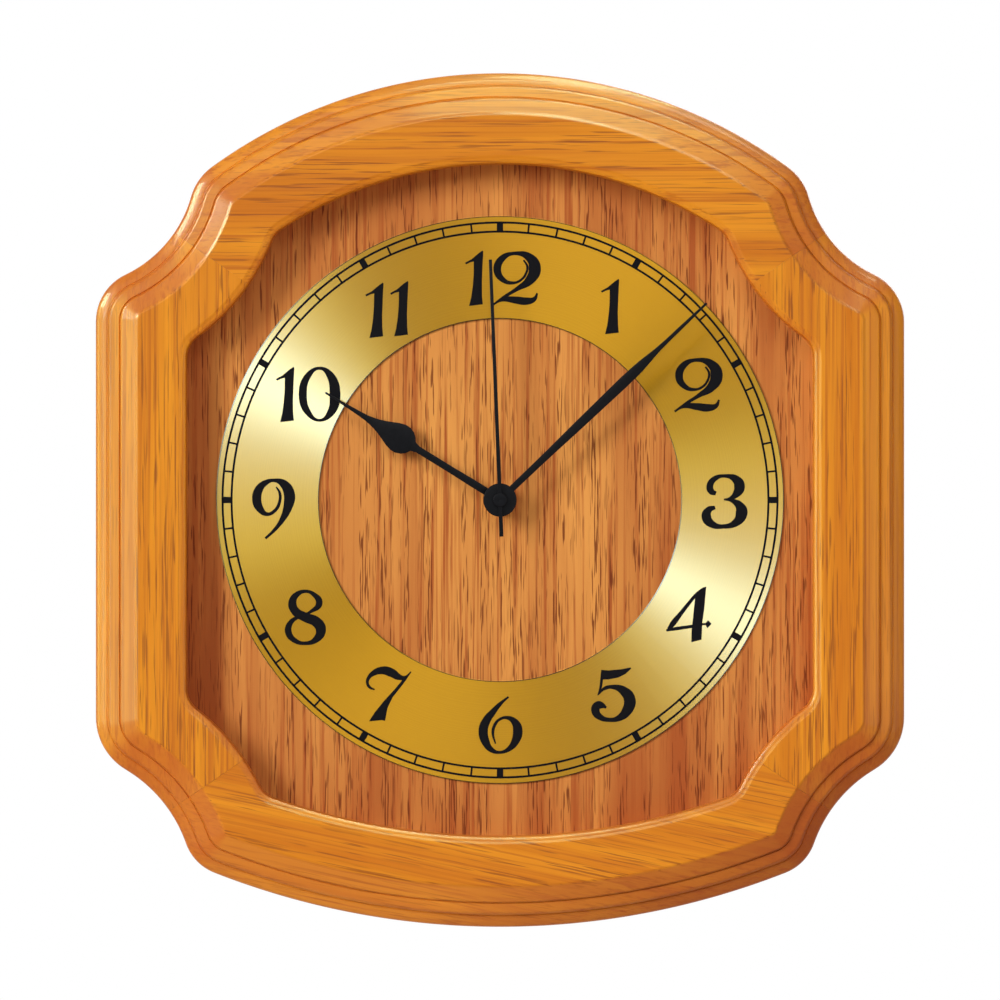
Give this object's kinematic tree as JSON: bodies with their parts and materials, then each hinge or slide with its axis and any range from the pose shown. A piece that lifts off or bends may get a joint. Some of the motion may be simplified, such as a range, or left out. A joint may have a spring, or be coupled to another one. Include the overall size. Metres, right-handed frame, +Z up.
{
  "type": "wall clock",
  "caption": "Wall clock with a moulded oak frame in an ogee-cornered outline, a recessed veneered dial with a brass chapter ring, and hour, minute and second hands on a battery movement.",
  "frame": {"origin": "the hanging point: the upper end of the keyhole slot, on the wall plane at the back of the top rail", "axes": "+Z up, +Y from the front towards the wall, +X to the right as seen from the front"},
  "size_m": [0.303, 0.045, 0.32],
  "materials": {
    "oak": "stained and satin lacquered oak",
    "tongue_oak": "bare oak",
    "veneer": "oak veneer, satin lacquered",
    "brass_ring": "circular brushed and lacquered",
    "brass": "machined",
    "hand_black": "black lacquered",
    "steel": "zinc plated",
    "iron": "bare",
    "copper": "enamelled copper wire",
    "black_plastic": "moulded",
    "white_plastic": "moulded",
    "rubber": "matt",
    "board": "solder mask",
    "cell": "printed sleeve"
  },
  "bodies": {
    "case": {"top_rail": "oak", "bottom_rail": "oak", "left_stile": "oak", "right_stile": "oak", "spline_top_left": "tongue_oak", "spline_top_right": "tongue_oak", "spline_bottom_left": "tongue_oak", "spline_bottom_right": "tongue_oak", "dial_panel": "veneer", "panel_screw_1": "steel", "panel_screw_2": "steel", "panel_screw_3": "steel", "panel_screw_4": "steel", "panel_screw_5": "steel", "panel_screw_6": "steel", "chapter_ring": "brass_ring", "hanger_plate": "steel", "hanger_screw_1": "steel", "hanger_screw_2": "steel", "movement_case": "black_plastic", "front_cover": "black_plastic", "middle_plate": "white_plastic", "threaded_bush": "brass", "rubber_washer": "rubber", "washer": "brass", "hex_nut": "brass", "stator": "iron", "coil": "copper", "circuit_board": "board", "chip": "black_plastic", "crystal": "steel", "contact_plus": "steel", "contact_minus": "steel"},
    "seconds": {"second_wheel": "steel", "second_hand": "hand_black"},
    "rotor": {"rotor": "iron"},
    "intermediate": {"intermediate_wheel": "white_plastic"},
    "third": {"third_wheel": "white_plastic"},
    "centre": {"centre_wheel": "brass"},
    "minutes": {"minute_pipe": "brass", "minute_hand": "hand_black"},
    "minute_work": {"minute_wheel": "white_plastic"},
    "hours": {"hour_wheel": "white_plastic", "hour_hand": "hand_black"},
    "setting": {"set_knob": "black_plastic"},
    "battery": {"battery_cell": "cell"}
  },
  "joints": [
    {"name": "second_turn", "type": "hinge", "parent": "case", "child": "seconds", "pos_m": [0, -0.031, -0.1505], "axis": [0, 1, 0], "continuous": true},
    {"name": "rotor_turn", "type": "hinge", "parent": "case", "child": "rotor", "pos_m": [-0.01099, -0.031, -0.1545], "axis": [0, 1, 0], "continuous": true},
    {"name": "intermediate_turn", "type": "hinge", "parent": "case", "child": "intermediate", "pos_m": [-0.00592, -0.031, -0.15265], "axis": [0, 1, 0], "continuous": true},
    {"name": "third_turn", "type": "hinge", "parent": "case", "child": "third", "pos_m": [-0.00262, -0.031, -0.14331], "axis": [0, 1, 0], "continuous": true},
    {"name": "centre_turn", "type": "hinge", "parent": "case", "child": "centre", "pos_m": [0, -0.031, -0.1505], "axis": [0, 1, 0], "continuous": true},
    {"name": "minute_turn", "type": "hinge", "parent": "case", "child": "minutes", "pos_m": [0, -0.031, -0.1505], "axis": [0, 1, 0], "continuous": true},
    {"name": "minute_wheel_turn", "type": "hinge", "parent": "case", "child": "minute_work", "pos_m": [0.00752, -0.031, -0.14776], "axis": [0, 1, 0], "continuous": true},
    {"name": "hour_turn", "type": "hinge", "parent": "case", "child": "hours", "pos_m": [0, -0.031, -0.1505], "axis": [0, 1, 0], "continuous": true},
    {"name": "set_turn", "type": "hinge", "parent": "case", "child": "setting", "pos_m": [0.00891, -0.031, -0.13989], "axis": [0, 1, 0], "continuous": true},
    {"name": "battery_out", "type": "slide", "parent": "case", "child": "battery", "axis": [0, 1, 0], "range_m": [0, 0.02]}
  ],
  "couplings": [
    {"joint": "rotor_turn", "follows": "second_turn", "ratio": 30},
    {"joint": "intermediate_turn", "follows": "second_turn", "ratio": -6},
    {"joint": "third_turn", "follows": "second_turn", "ratio": -0.13333},
    {"joint": "centre_turn", "follows": "second_turn", "ratio": 0.016667},
    {"joint": "minute_wheel_turn", "follows": "minute_turn", "ratio": -0.33333},
    {"joint": "hour_turn", "follows": "minute_turn", "ratio": 0.083333},
    {"joint": "set_turn", "follows": "minute_turn", "ratio": 1}
  ]
}
